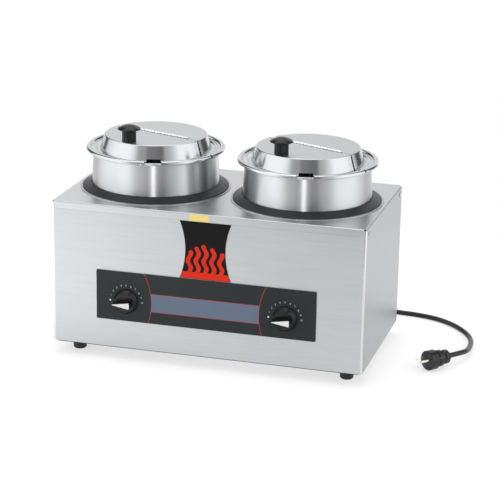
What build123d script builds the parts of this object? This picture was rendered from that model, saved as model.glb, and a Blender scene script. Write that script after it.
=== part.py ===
from build123d import *

import os
from math import cos, pi, radians, sin, sqrt, tan

# Twin-well countertop rethermalizer: a stainless cabinet with two wet wells, a lift-out inset with a
# hinged lid in each, a dial for each well and a mains lead. Millimetres, +Z up. The origin is on the
# counter, under the middle of the footprint, and +Y points to the back.

# Inset: the lift-out pot
inset_wall = 1.2
inset_depth = 212.0
inset_taper = 4.0
inset_bottom_fillet = 20.0
collar_height = 64.6
collar_radius = 110.5
collar_taper = 2.7
collar_fillet = 2.0
shoulder_width = 8.5
rim_width = 9.4
rim_bead = 1.5

# Well and the black ring that centres the inset in it
sheet = 1.2
bend = 2.0
water_depth = 50.8
well_fillet = 18.0
ring_clearance = 0.9
ring_wall = 2.2
ring_fit = 0.4
ring_skirt = 13.0
ring_edge = 1.2
ring_height = 8.4
ring_crest = 1.2
ring_seat = 2.0
ring_spigot = 8.0
ring_lip_gap = 0.6
flange_reveal = 3.5
opening_gap = 0.8

# Cabinet
flange_gap = 10.0
flange_margin = 6.0
front_setback = 16.1
rear_setback = 8.9
under_well_room = 55.0
foot_height = 23.4
seam_inset = 3.6
corner_radius = 3.2
side_drop = 2.5
skirt_height = 13.0
skirt_inset = 4.6
skirt_mitre = 7.0
skirt_straight = 4.0
deck_flange = 22.0
deck_relief = 0.6
face_return = 14.0
return_gap = 0.5
pan_flange = 12.0
pan_flange_inset = 20.0
pan_corner = 6.0
vent_length = 60.0
vent_width = 6.0
vent_pitch = 16.0
vent_count = 5
vent_setback = 70.0

# Feet and fasteners
foot_inset_x = 34.0
foot_inset_y = 39.0
foot_radius = 12.5
foot_taper = 1.0
foot_chamfer = 2.0
foot_bore_depth = 8.0
screw_gap = 0.2
foot_shank = 2.2
foot_head = 4.5
foot_head_height = 3.2
foot_screw_end = 4.0
side_shank = 1.6
side_head = 3.6
side_head_height = 1.8
side_screw_end = 3.0
side_screw_drop = 12.0
side_screw_inset = 20.0

# Heater under each well
element_radius = 68.0
element_width = 12.0
element_height = 8.0
element_open_angle = 40.0
terminal_radius = 2.5
terminal_length = 16.0
terminal_inset = 4.0
clamp_width = 24.0
clamp_thickness = 2.0
clamp_overhang = 10.0
clamp_stud_radius = 5.0
clamp_head_radius = 7.0
clamp_head_height = 5.0

# Control panel, dials and thermostats
panel_width = 383.8
panel_height = 86.8
panel_base = 48.9
panel_corner = 2.0
panel_sheet = 1.5
dial_inset = 52.9
dial_height = 35.1
badge_half_width = 44.5
badge_waist = 34.6
badge_gap = 1.0
badge_sheet = 1.0
thermostat_width = 38.0
thermostat_height = 34.0
thermostat_depth = 18.0
thermostat_corner = 2.0
tab_width = 6.3
tab_sheet = 0.8
tab_length = 6.0
tab_pitch = 20.0
bushing_radius = 4.6
bushing_tip = 1.0
bushing_gap = 0.3
nut_flats = 13.0
nut_height = 2.5
shaft_radius = 3.0
shaft_clearance = 0.3
shaft_fit = 0.05
shaft_seat = 5.5
knob_gap = 0.5
knob_height = 24.0
knob_radius = 21.5
knob_edge = 2.5
knob_shelf = 16.5
knob_shelf_height = 10.0
knob_edge_fillet = 0.8
knob_room = 0.8
grip_root = 4.0
grip_tip = 17.0
grip_tail = 13.8
grip_tip_width = 1.6
grip_tail_width = 11.7
grip_tail_bulge = 1.0
inlay_margin = 1.0
inlay_depth = 0.6

# Lid: a rear half that stays and a front flap on a piano hinge
lid_wall = 1.0
lid_rise = 23.9
lid_cone = 8.6
lid_shoulder_fillet = 2.6
channel_width = 4.0
channel_drop = 1.7
channel_fillet = 1.6
rib_inset = 2.4
rib_inner = 3.6
rib_outer = 3.2
rib_height = 1.2
rib_fillet = 2.2
seat_width = 3.5
seat_fillet = 1.2
roll_run = 2.0
roll_height = 3.7
roll_inner_fillet = 3.6
roll_outer_fillet = 4.4
lid_overhang = 2.7
lid_edge_drop = 1.4
hinge_setback = 3.0
hinge_left_margin = 4.0
hinge_right_margin = 20.0
hinge_lift = 0.6
knuckle_count = 21
knuckle_radius = 2.4
knuckle_gap = 0.8
knuckle_room = 0.5
pin_radius = 1.1
pin_fit = 0.05
pin_clearance = 0.3
split_gap = 1.0
split_end_gap = 3.0
notch_angle = 36.0
notch_span = 14.4
notch_rise = 1.8
lid_knob_margin = 15.0
lid_turns = {"left": -20.0, "right": -24.0}

# Lid knob
stem_radius = 12.0
stem_height = 18.0
flute_count = 10
flute_radius = 2.0
flute_depth = 1.0
cap_radius = 21.3
cap_rim_height = 21.4
cap_height = 29.0
cap_fillet = 1.5
lid_screw_shank = 2.2
lid_screw_head = 4.5
lid_screw_head_height = 2.5
lid_screw_reach = 12.0

# Mains lead, its gland and the terminal block it feeds
cord_diameter = 9.0
gland_x = -39.3
gland_height = 46.0
gland_neck = 7.0
gland_flange = 9.0
gland_flange_thickness = 3.0
relief_length = 32.0
relief_root = 8.5
relief_end = 6.0
relief_groove = 1.6
relief_groove_depth = 1.0
relief_groove_count = 4
block_width = 46.0
block_depth = 20.0
block_height = 8.0
block_wall = 2.4
block_wall_height = 12.0
block_ways = 3
block_setback = 36.0

# Coil of the spare lead behind the cabinet
coil_x = 70.0
coil_y = 224.0
coil_angle = 78.0
coil_outer = 57.0
coil_pitch = 9.8
coil_lower_halves = 4
coil_upper_halves = 3
tie_sheet = 0.8
tie_room = 0.3
tie_width = 12.0
tie_corner = 2.0
coil_entry_run = 28.0
coil_exit_run = 39.0
bend_share = 0.45

# Plug
drum_radius = 17.0
drum_length = 16.0
drum_chamfer = 1.2
plug_tail_radius = 6.5
plug_tail_flare = 1.0
plug_tail_length = 4.0
finger_ribs = ((12.2, 10.6), (14.2, 12.0))
finger_slope = 2.5
finger_flat = 7.0
finger_gap = 2.0
plug_length = 49.2
plug_roll = 25.0
blade_width = 6.35
blade_sheet = 1.5
blade_length = 17.5
blade_pitch = 12.7
blade_offset = -4.0
blade_hole = 1.55
blade_hole_inset = 4.0
ground_radius = 2.4
ground_length = 21.0
ground_offset = 7.9
ground_tip_fillet = 1.8

# Heights that follow from the sizes above
inset_body = collar_radius - shoulder_width
inset_foot = inset_body - inset_taper
collar_top = collar_radius - collar_taper
rim_radius = collar_top + rim_width
below_deck = inset_depth - collar_height - ring_seat - sheet
well_depth = below_deck + water_depth
cabinet_height = well_depth + under_well_room
deck_z = foot_height + cabinet_height
flange_z = deck_z + sheet
seat_z = flange_z + ring_seat
ring_z = flange_z + ring_height
rim_z = seat_z + collar_height
inset_z = rim_z - inset_depth
well_z = deck_z - well_depth
well_under = well_z - sheet
lid_flange_z = rim_z + lid_wall
lid_z = lid_flange_z + lid_rise
channel_z = lid_flange_z - channel_drop
roll_z = lid_flange_z + roll_height
hinge_z = lid_z + hinge_lift
skirt_z = deck_z - skirt_height
face_top = deck_z - bend

# Radii and plan sizes that follow
ring_bore = collar_radius + ring_clearance
ring_lip = inset_body + collar_fillet + ring_lip_gap
well_radius = ring_bore + ring_wall + ring_fit
well_outer = well_radius + sheet
ring_base = well_radius + ring_skirt
flange_radius = ring_base + flange_reveal
well_opening = well_outer + bend + opening_gap
lid_radius = rim_radius + lid_overhang
rib_radius = collar_top - inset_wall - rib_inset
lid_foot_radius = rib_radius - rib_inner - channel_width
seat_radius = rib_radius + rib_outer + seat_width
lid_top_radius = lid_foot_radius - lid_cone
hinge_left = lid_top_radius - hinge_left_margin
hinge_right = lid_top_radius - hinge_right_margin
lid_knob_offset = lid_top_radius - lid_knob_margin
cabinet_width = 4 * flange_radius + flange_gap + 2 * flange_margin
cabinet_depth = 2 * flange_radius + front_setback + rear_setback
front_reach = panel_sheet + knob_gap + knob_height
front_y = front_reach - (front_reach + cabinet_depth + sheet) / 2
rear_y = front_y + cabinet_depth
mid_y = (front_y + rear_y) / 2
inner_width = cabinet_width - 2 * sheet
inner_depth = cabinet_depth - 2 * sheet
face_half = cabinet_width / 2 - seam_inset
skirt_half = cabinet_width / 2 - skirt_inset
flange_start = corner_radius + deck_relief
well_y = front_y + front_setback + flange_radius
well_x = {"left": -flange_radius - flange_gap / 2, "right": flange_radius + flange_gap / 2}
dial_offset = panel_width / 2 - dial_inset
dial_x = {"left": -dial_offset, "right": dial_offset}
panel_z = foot_height + panel_base
dial_z = panel_z + dial_height
badge_base = panel_z + panel_height + badge_gap
badge_top = skirt_z - badge_gap
side_screw_z = deck_z - side_screw_drop
side_screw_pitch = cabinet_depth - 2 * side_screw_inset
foot_pitch_x = cabinet_width - 2 * foot_inset_x
foot_pitch_y = cabinet_depth - 2 * foot_inset_y
sides = ("left", "right")

front_face = Plane(origin=(0, front_y, 0), x_dir=(1, 0, 0), z_dir=(0, -1, 0))
rear_face = Plane(origin=(0, rear_y, 0), x_dir=(-1, 0, 0), z_dir=(0, 1, 0))

os.makedirs("parts", exist_ok=True)


def keep(piece, name):
    """Name a finished piece and write it to its own file."""
    piece.part.label = name
    export_step(piece.part, f"parts/{name}.step")


def side_wall(hand):
    return Plane(origin=(hand * cabinet_width / 2, mid_y, 0), x_dir=(0, hand, 0), z_dir=(hand, 0, 0))


def upright(x, y):
    """The plane whose X is the radius about a vertical axis at (x, y) and whose Y is the height."""
    return Plane(origin=(x, y, 0), x_dir=(1, 0, 0), z_dir=(0, -1, 0))


def upright_axis(x, y):
    return Axis((x, y, 0), (0, 0, 1))


def formed_sheet(plane, points, radii, wall, side):
    """Section of formed sheet: one surface follows the points, the other lies a wall away."""
    with BuildSketch(plane) as section:
        with BuildLine():
            FilletPolyline(*points, radius=radii)
            offset(amount=wall, side=side)
        make_face()
    return section.sketch


# Base pan: a folded tray that closes the cabinet below and carries the feet
with BuildPart() as base_pan:
    with BuildSketch(Plane.XY.offset(foot_height)) as floor:
        with Locations((0, mid_y)):
            Rectangle(inner_width, inner_depth)
        chamfer(floor.vertices(), pan_corner)
        with Locations((0, mid_y)):
            with GridLocations(foot_pitch_x, foot_pitch_y, 2, 2):
                Circle(foot_shank + screw_gap, mode=Mode.SUBTRACT)
        with Locations((0, mid_y - vent_setback), (0, mid_y + vent_setback)):
            with GridLocations(vent_length + vent_pitch, vent_pitch, 2, vent_count):
                SlotOverall(vent_length, vent_width, mode=Mode.SUBTRACT)
    extrude(amount=sheet)
    with BuildSketch(Plane.XY.offset(foot_height)):
        with Locations((0, mid_y)):
            with GridLocations(inner_width - sheet, 1, 2, 1):
                Rectangle(sheet, inner_depth - 2 * pan_flange_inset)
            with GridLocations(1, inner_depth - sheet, 1, 2):
                Rectangle(inner_width - 2 * pan_flange_inset, sheet)
    extrude(amount=pan_flange)
keep(base_pan, "base_pan")


# Front and rear panels: flat faces with a return folded back at each end
def face_panel(plane, holes):
    mid_z = (foot_height + face_top) / 2
    height = face_top - foot_height
    with BuildPart() as panel:
        with BuildSketch(plane):
            with Locations((0, mid_z)):
                Rectangle(2 * face_half, height)
            for x, z, radius in holes:
                with Locations((x, z)):
                    Circle(radius, mode=Mode.SUBTRACT)
        extrude(amount=-sheet)
        with BuildSketch(plane):
            with Locations((0, mid_z)):
                with GridLocations(2 * face_half - sheet, 1, 2, 1):
                    Rectangle(sheet, height - 2 * (sheet + return_gap))
        extrude(amount=-face_return)
    return panel


bushing_hole = bushing_radius + bushing_gap
dial_holes = [(dial_x[side], dial_z, bushing_hole) for side in sides]
front_panel = face_panel(front_face, dial_holes)
rear_panel = face_panel(rear_face, [(-gland_x, gland_height, gland_neck + screw_gap)])
keep(front_panel, "front_panel")
keep(rear_panel, "rear_panel")


# Side panels: each wraps round its two corners and ends in a seam on the front and rear faces
for side, hand, inward in (("left", -1, Side.RIGHT), ("right", 1, Side.LEFT)):
    wrap = [
        (hand * face_half, front_y),
        (hand * cabinet_width / 2, front_y),
        (hand * cabinet_width / 2, rear_y),
        (hand * face_half, rear_y),
    ]
    with BuildPart() as side_panel:
        fold = formed_sheet(Plane.XY.offset(foot_height), wrap, corner_radius, sheet, inward)
        extrude(fold, amount=deck_z - side_drop - foot_height, dir=(0, 0, 1))
        with BuildSketch(side_wall(hand)):
            with Locations((0, side_screw_z)):
                with GridLocations(side_screw_pitch, 1, 2, 1):
                    Circle(side_shank + screw_gap)
        extrude(amount=-sheet, mode=Mode.SUBTRACT)
    keep(side_panel, f"{side}_side_panel")

# Top deck: one sheet folded down into mitred skirts front and rear and into flanges at the sides
front_back = [
    (front_y - sheet, skirt_z),
    (front_y - sheet, deck_z),
    (rear_y + sheet, deck_z),
    (rear_y + sheet, skirt_z),
]
left_right = [
    (-inner_width / 2, deck_z - deck_flange),
    (-inner_width / 2, deck_z),
    (inner_width / 2, deck_z),
    (inner_width / 2, deck_z - deck_flange),
]
with BuildPart() as top_deck:
    fold = formed_sheet(Plane.YZ.offset(-skirt_half), front_back, bend, sheet, Side.RIGHT)
    extrude(fold, amount=2 * skirt_half, dir=(1, 0, 0))
    fold = formed_sheet(front_face.offset(-flange_start), left_right, bend, sheet, Side.RIGHT)
    extrude(fold, amount=cabinet_depth - 2 * flange_start, dir=(0, 1, 0))
    for face in (front_face, rear_face):
        with BuildSketch(face):
            with BuildLine():
                Polyline(
                    (skirt_half, deck_z - skirt_straight),
                    (skirt_half - skirt_mitre, skirt_z),
                    (skirt_half, skirt_z),
                    close=True,
                )
            make_face()
            mirror(about=Plane.YZ)
        extrude(amount=sheet, mode=Mode.SUBTRACT)
    with BuildSketch(Plane.XY.offset(deck_z)):
        with Locations(*[(well_x[side], well_y) for side in sides]):
            Circle(well_opening)
    extrude(amount=-sheet, mode=Mode.SUBTRACT)
    with BuildSketch(Plane.YZ):
        with Locations((mid_y, side_screw_z)):
            with GridLocations(side_screw_pitch, 1, 2, 1):
                Circle(side_shank + screw_gap)
    extrude(amount=cabinet_width / 2, both=True, mode=Mode.SUBTRACT)
keep(top_deck, "top_deck")

# Feet: turned plugs with a counterbored hole for the screw that holds them
foot_section = [
    (foot_head + 2 * screw_gap, 0),
    (foot_radius - foot_taper - foot_chamfer, 0),
    (foot_radius - foot_taper, foot_chamfer),
    (foot_radius, foot_height),
    (foot_shank + screw_gap, foot_height),
    (foot_shank + screw_gap, foot_bore_depth),
    (foot_head + 2 * screw_gap, foot_bore_depth),
]
foot_x = foot_pitch_x / 2
foot_y = foot_pitch_y / 2
foot_places = {
    "front_left": (-foot_x, mid_y - foot_y),
    "front_right": (foot_x, mid_y - foot_y),
    "rear_left": (-foot_x, mid_y + foot_y),
    "rear_right": (foot_x, mid_y + foot_y),
}
for corner, (x, y) in foot_places.items():
    with BuildPart() as foot:
        with BuildSketch(upright(x, y)):
            with BuildLine():
                Polyline(*foot_section, close=True)
            make_face()
        revolve(axis=upright_axis(x, y))
    keep(foot, f"foot_{corner}")

with BuildPart() as foot_screws:
    with Locations(*[(x, y, foot_bore_depth) for x, y in foot_places.values()]):
        Cylinder(
            foot_shank,
            foot_height + sheet + foot_screw_end - foot_bore_depth,
            align=(Align.CENTER, Align.CENTER, Align.MIN),
        )
        Cylinder(foot_head, foot_head_height, align=(Align.CENTER, Align.CENTER, Align.MAX))
keep(foot_screws, "foot_screws")

# Side screws: domed heads that pin each side panel to the deck's flange
with BuildPart() as side_screws:
    for hand in (-1, 1):
        with BuildSketch(side_wall(hand)):
            with Locations((0, side_screw_z)):
                with GridLocations(side_screw_pitch, 1, 2, 1):
                    Circle(side_head)
        extrude(amount=side_head_height)
        with BuildSketch(side_wall(hand)):
            with Locations((0, side_screw_z)):
                with GridLocations(side_screw_pitch, 1, 2, 1):
                    Circle(side_shank)
        extrude(amount=-2 * sheet - side_screw_end)
    outer_rims = side_screws.edges().filter_by(GeomType.CIRCLE).group_by(Axis.X)
    chamfer(outer_rims[0] + outer_rims[-1], side_head_height / 2)
keep(side_screws, "side_screws")

# Wells and what sits in and under each of them
ring_section = [
    (ring_lip, flange_z - ring_spigot),
    (well_radius - ring_fit, flange_z - ring_spigot),
    (well_radius - ring_fit, flange_z),
    (ring_base, flange_z),
    (ring_base, flange_z + ring_edge),
    (ring_bore + ring_crest, ring_z),
    (ring_bore, ring_z),
    (ring_bore, seat_z),
    (ring_lip, seat_z),
]
ring_rounding = ring_edge / 2
ring_radii = [0, ring_rounding, 0, 0, ring_rounding, ring_rounding, 0, 0, 0]
well_line = [(0, well_under), (well_outer, well_under), (well_outer, deck_z), (flange_radius, deck_z)]
element_under = well_under - element_height
clamp_under = element_under - clamp_thickness
for side in sides:
    x = well_x[side]
    with BuildPart() as well:
        drawn = formed_sheet(upright(x, well_y), well_line, [well_fillet, bend], sheet, Side.LEFT)
        revolve(drawn, axis=upright_axis(x, well_y))
    keep(well, f"{side}_well")

    with BuildPart() as ring:
        with BuildSketch(upright(x, well_y)):
            with BuildLine():
                FilletPolyline(*ring_section, radius=ring_radii, close=True)
            make_face()
        revolve(axis=upright_axis(x, well_y))
    keep(ring, f"{side}_well_ring")

    # A flattened open ring pressed against the well's floor, with its two terminals turned down
    half_open = radians(element_open_angle / 2)
    start = Vector(sin(half_open), -cos(half_open), 0)
    with BuildPart() as element:
        with BuildSketch(Plane(origin=(x, well_y, 0), x_dir=start, z_dir=start.cross(Vector(0, 0, 1)))):
            with Locations((element_radius, element_under + element_height / 2)):
                Rectangle(element_width, element_height)
        revolve(axis=upright_axis(x, well_y), revolution_arc=360 - element_open_angle)
        with Locations((x, well_y, element_under)):
            with PolarLocations(
                element_radius,
                2,
                start_angle=element_open_angle / 2 + terminal_inset - 90,
                angular_range=-element_open_angle - 2 * terminal_inset,
                endpoint=True,
            ):
                Cylinder(
                    terminal_radius,
                    terminal_length,
                    align=(Align.CENTER, Align.CENTER, Align.MAX),
                )
    keep(element, f"{side}_heating_element")

    with BuildPart() as clamp:
        with BuildSketch(Plane(origin=(x, well_y, clamp_under))):
            SlotOverall(2 * element_radius + element_width + 2 * clamp_overhang, clamp_width)
        extrude(amount=clamp_thickness)
        with Locations((x, well_y, element_under)):
            Cylinder(clamp_stud_radius, element_height, align=(Align.CENTER, Align.CENTER, Align.MIN))
        with BuildSketch(Plane(origin=(x, well_y, clamp_under))):
            RegularPolygon(clamp_head_radius, 6)
        extrude(amount=-clamp_head_height)
    keep(clamp, f"{side}_heater_clamp")

# Control panel: a plate on the front face, held by the thermostats' nuts
with BuildPart() as control_panel:
    with BuildSketch(front_face):
        with Locations((0, panel_z + panel_height / 2)):
            RectangleRounded(panel_width, panel_height, panel_corner)
        with Locations(*[(dial_x[side], dial_z) for side in sides]):
            Circle(bushing_hole, mode=Mode.SUBTRACT)
    extrude(amount=panel_sheet)
keep(control_panel, "control_panel")

# Centre badge: a waisted plate between the control panel and the deck's skirt
badge_mid = (badge_base + badge_top) / 2
with BuildPart() as centre_badge:
    with BuildSketch(front_face):
        with BuildLine():
            Line((-badge_half_width, badge_base), (badge_half_width, badge_base))
            ThreePointArc(
                (badge_half_width, badge_base), (badge_waist, badge_mid), (badge_half_width, badge_top)
            )
            Line((badge_half_width, badge_top), (-badge_half_width, badge_top))
            ThreePointArc(
                (-badge_half_width, badge_top), (-badge_waist, badge_mid), (-badge_half_width, badge_base)
            )
        make_face()
    extrude(amount=badge_sheet)
keep(centre_badge, "centre_badge")

# Thermostats behind the front panel, with a threaded bushing through both plates
bushing_end = panel_sheet + nut_height + bushing_tip
shaft_inner = sheet + thermostat_depth / 2
for side in sides:
    dial = front_face.location * Location((dial_x[side], dial_z, 0))
    dial_plane = Plane(dial)
    with BuildPart() as thermostat:
        with BuildSketch(dial_plane.offset(-sheet)):
            Rectangle(thermostat_width, thermostat_height)
        extrude(amount=-thermostat_depth)
        fillet(thermostat.edges().filter_by(Axis.Y), thermostat_corner)
        with BuildSketch(dial_plane.offset(-sheet - thermostat_depth)):
            with GridLocations(tab_pitch, 1, 2, 1):
                Rectangle(tab_sheet, tab_width)
        extrude(amount=-tab_length)
        with BuildSketch(dial_plane.offset(-sheet)):
            Circle(bushing_radius)
        extrude(amount=sheet + bushing_end)
        with BuildSketch(dial_plane.offset(bushing_end)):
            Circle(shaft_radius + shaft_clearance)
        extrude(amount=-bushing_end - shaft_inner, mode=Mode.SUBTRACT)
    keep(thermostat, f"{side}_thermostat")

with BuildPart() as thermostat_nuts:
    with BuildSketch(front_face.offset(panel_sheet)):
        with Locations(*[(dial_x[side], dial_z) for side in sides]):
            RegularPolygon(nut_flats / 2, 6, major_radius=False)
            Circle(bushing_hole, mode=Mode.SUBTRACT)
    extrude(amount=nut_height)
keep(thermostat_nuts, "thermostat_nuts")


# Dial knobs: a skirted body with a wedge grip, a pale inlay along the grip and the shaft they turn
def grip_outline(plane, margin):
    tail = grip_tail - grip_tail_bulge
    with BuildSketch(plane) as outline:
        with BuildLine():
            Polyline(
                (tail, grip_tail_width / 2),
                (-grip_tip, grip_tip_width / 2),
                (-grip_tip, -grip_tip_width / 2),
                (tail, -grip_tail_width / 2),
            )
            ThreePointArc((tail, -grip_tail_width / 2), (grip_tail, 0), (tail, grip_tail_width / 2))
        make_face()
        if margin:
            offset(amount=-margin, kind=Kind.INTERSECTION)
    return outline.sketch


recess_depth = nut_height + bushing_tip - knob_gap + knob_room
recess_radius = nut_flats / 2 / cos(radians(30)) + knob_room
knob_section = [
    (recess_radius, 0),
    (knob_radius, 0),
    (knob_radius, knob_edge),
    (knob_shelf, knob_shelf_height),
    (0, knob_shelf_height),
    (0, recess_depth),
    (recess_radius, recess_depth),
]
for side in sides:
    knob_y = front_y - panel_sheet - knob_gap
    knob_plane = Plane(origin=(dial_x[side], knob_y, dial_z), x_dir=(1, 0, 0), z_dir=(0, -1, 0))
    half_plane = Plane(origin=(dial_x[side], knob_y, dial_z), x_dir=(1, 0, 0), z_dir=(0, 0, -1))
    grip = grip_outline(knob_plane.offset(grip_root), 0)
    inlay_outline = grip_outline(knob_plane.offset(knob_height), inlay_margin)
    with BuildPart() as control_knob:
        with BuildSketch(half_plane):
            with BuildLine():
                FilletPolyline(
                    *knob_section,
                    radius=[0, 0, knob_edge_fillet, knob_edge_fillet, 0, 0, 0],
                    close=True,
                )
            make_face()
        revolve(axis=Axis(knob_plane.origin, knob_plane.z_dir))
        extrude(grip, amount=knob_height - grip_root, dir=(0, -1, 0))
        with BuildSketch(knob_plane.offset(recess_depth)):
            Circle(shaft_radius + shaft_fit)
        extrude(amount=shaft_seat, mode=Mode.SUBTRACT)
        extrude(inlay_outline, amount=inlay_depth, dir=(0, 1, 0), mode=Mode.SUBTRACT)
    keep(control_knob, f"{side}_control_knob")

    with BuildPart() as inlay:
        extrude(inlay_outline, amount=inlay_depth, dir=(0, 1, 0))
    keep(inlay, f"{side}_pointer_inlay")

    with BuildPart() as shaft:
        with BuildSketch(knob_plane.offset(recess_depth + shaft_seat)):
            Circle(shaft_radius)
        extrude(amount=-recess_depth - shaft_seat - knob_gap - panel_sheet - shaft_inner + shaft_clearance)
    keep(shaft, f"{side}_thermostat_shaft")

# Insets: drawn pots whose shoulder stands on the ring, with a rolled rim
inset_line = [
    (0, inset_z),
    (inset_foot, inset_z),
    (inset_body, seat_z),
    (collar_radius, seat_z),
    (collar_top, rim_z - inset_wall),
    (rim_radius - rim_bead, rim_z - inset_wall),
]
inset_radii = [inset_bottom_fillet, collar_fillet, collar_fillet, collar_fillet]
for side in sides:
    x = well_x[side]
    with BuildPart() as inset:
        with BuildSketch(upright(x, well_y)):
            with BuildLine():
                FilletPolyline(*inset_line, radius=inset_radii)
                offset(amount=inset_wall, side=Side.LEFT)
            make_face()
            with Locations((rim_radius - rim_bead, rim_z - rim_bead)):
                Circle(rim_bead)
        revolve(axis=upright_axis(x, well_y))
    keep(inset, f"{side}_inset")

# Lids: one drawn shape, parted across the middle and joined again by a piano hinge
lid_line = [
    (0, lid_z),
    (lid_top_radius, lid_z),
    (lid_foot_radius, channel_z),
    (rib_radius - rib_inner, channel_z),
    (rib_radius, lid_flange_z + rib_height),
    (rib_radius + rib_outer, lid_flange_z),
    (seat_radius, lid_flange_z),
    (seat_radius + roll_run, roll_z),
    (lid_radius, roll_z),
    (lid_radius, lid_flange_z - lid_edge_drop),
]
lid_radii = [
    lid_shoulder_fillet,
    channel_fillet,
    channel_fillet,
    rib_fillet,
    seat_fillet,
    seat_fillet,
    roll_inner_fillet,
    roll_outer_fillet,
]
lid_low = channel_z - lid_wall
notch_line = [
    (lid_top_radius, lid_low),
    (lid_radius + lid_wall, lid_low),
    (lid_radius + lid_wall, roll_z + lid_wall),
    (lid_foot_radius + channel_width / 2, roll_z + lid_wall),
    (lid_foot_radius + channel_width / 2, lid_flange_z + notch_rise),
    (lid_top_radius, lid_flange_z + notch_rise),
]
hinge_length = hinge_left + hinge_right
knuckle_pitch = hinge_length / knuckle_count
knuckle_length = knuckle_pitch - knuckle_gap
knuckle_starts = [i * knuckle_pitch + knuckle_gap / 2 for i in range(knuckle_count)]
rear_knuckles = knuckle_starts[0::2]
flap_knuckles = knuckle_starts[1::2]
lid_screw_bore = lid_screw_shank + screw_gap


def knuckle_slots(plane, starts):
    """Cut-outs in one half of the lid, where the other half's knuckles turn."""
    with BuildSketch(plane) as cuts:
        with Locations(*[(start + knuckle_length / 2 - hinge_left, hinge_setback) for start in starts]):
            Rectangle(knuckle_length + 2 * knuckle_gap, 2 * (knuckle_radius + knuckle_room))
    return cuts.sketch


def knuckle_ends(plane, starts):
    with BuildSketch(*[plane.offset(start) for start in starts]) as ends:
        Circle(knuckle_radius)
    return ends.sketch


for side in sides:
    x = well_x[side]
    turn = radians(lid_turns[side])
    along = Vector(cos(turn), sin(turn), 0)
    back = Vector(-sin(turn), cos(turn), 0)
    lid_plane = Plane(origin=(x, well_y, 0), x_dir=along, z_dir=(0, 0, 1))
    hinge_start = lid_plane.from_local_coords(Vector(-hinge_left, hinge_setback, hinge_z))
    hinge_plane = Plane(origin=hinge_start, x_dir=back, z_dir=along)
    split_plane = Plane(origin=hinge_start, x_dir=along, z_dir=back)
    drawn = formed_sheet(upright(x, well_y), lid_line, lid_radii, lid_wall, Side.RIGHT)

    with BuildPart() as lid_rear:
        revolve(drawn, axis=upright_axis(x, well_y))
        split(bisect_by=split_plane.offset(split_gap / 2), keep=Keep.TOP)
        slots = knuckle_slots(lid_plane.offset(lid_z), flap_knuckles)
        extrude(slots, amount=2 * lid_wall, dir=(0, 0, -1), mode=Mode.SUBTRACT)
        extrude(knuckle_ends(hinge_plane, rear_knuckles), amount=knuckle_length, dir=along)
        with BuildSketch(hinge_plane):
            Circle(pin_radius + pin_fit)
        extrude(amount=hinge_length, mode=Mode.SUBTRACT)
    keep(lid_rear, f"{side}_lid_rear")

    with BuildPart() as hinge_pin:
        with BuildSketch(hinge_plane.offset(knuckle_gap / 2)):
            Circle(pin_radius)
        extrude(amount=hinge_length - knuckle_gap)
    keep(hinge_pin, f"{side}_hinge_pin")

    notch_start = turn + radians(notch_angle - 90 - notch_span / 2)
    notch_side = Vector(cos(notch_start), sin(notch_start), 0)
    notch_plane = Plane(origin=(x, well_y, 0), x_dir=notch_side, z_dir=notch_side.cross(Vector(0, 0, 1)))
    with BuildPart() as lid_flap:
        revolve(drawn, axis=upright_axis(x, well_y))
        split(bisect_by=split_plane.offset(-split_gap / 2), keep=Keep.BOTTOM)
        slots = knuckle_slots(lid_plane.offset(lid_z), rear_knuckles)
        extrude(slots, amount=2 * lid_wall, dir=(0, 0, -1), mode=Mode.SUBTRACT)
        with BuildSketch(lid_plane.offset(lid_low)):
            with Locations((0, hinge_setback)):
                with GridLocations(2 * lid_radius, 1, 2, 1):
                    Rectangle(2 * (lid_radius - lid_top_radius), 2 * split_end_gap)
        extrude(amount=lid_z - lid_low, mode=Mode.SUBTRACT)
        with BuildSketch(notch_plane):
            with BuildLine():
                Polyline(*notch_line, close=True)
            make_face()
        revolve(axis=upright_axis(x, well_y), revolution_arc=notch_span, mode=Mode.SUBTRACT)
        with BuildSketch(lid_plane.offset(lid_z)):
            with Locations((0, -lid_knob_offset)):
                Circle(lid_screw_bore)
        extrude(amount=-lid_wall, mode=Mode.SUBTRACT)
        extrude(knuckle_ends(hinge_plane, flap_knuckles), amount=knuckle_length, dir=along)
        with BuildSketch(hinge_plane):
            Circle(pin_radius + pin_clearance)
        extrude(amount=hinge_length, mode=Mode.SUBTRACT)
    keep(lid_flap, f"{side}_lid_flap")

    # Lid knob: a fluted stem under a domed cap, held by a screw from inside the lid
    knob_place = lid_plane.from_local_coords(Vector(0, -lid_knob_offset, lid_z))
    knob_axis = Axis(knob_place, (0, 0, 1))
    bore_depth = lid_screw_reach - lid_wall + screw_gap
    with BuildPart() as lid_knob:
        with BuildSketch(Plane(origin=knob_place, x_dir=(1, 0, 0), z_dir=(0, -1, 0))) as knob_half:
            with BuildLine():
                Polyline(
                    (0, cap_height),
                    (0, bore_depth),
                    (lid_screw_bore, bore_depth),
                    (lid_screw_bore, 0),
                    (stem_radius, 0),
                    (stem_radius, stem_height),
                    (cap_radius, cap_rim_height),
                )
                TangentArc((0, cap_height), (cap_radius, cap_rim_height), tangent=(1, 0))
            make_face()
            fillet(knob_half.vertices().sort_by(Axis.X)[-1], cap_fillet)
        revolve(axis=knob_axis)
        with BuildSketch(Plane(origin=knob_place)):
            with PolarLocations(stem_radius + flute_radius - flute_depth, flute_count):
                Circle(flute_radius)
        extrude(amount=stem_height, mode=Mode.SUBTRACT)
    keep(lid_knob, f"{side}_lid_knob")

    with BuildPart() as lid_screw:
        with Locations(knob_place - Vector(0, 0, lid_wall)):
            Cylinder(lid_screw_shank, lid_screw_reach, align=(Align.CENTER, Align.CENTER, Align.MIN))
            Cylinder(lid_screw_head, lid_screw_head_height, align=(Align.CENTER, Align.CENTER, Align.MAX))
    keep(lid_screw, f"{side}_lid_knob_screw")

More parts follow.
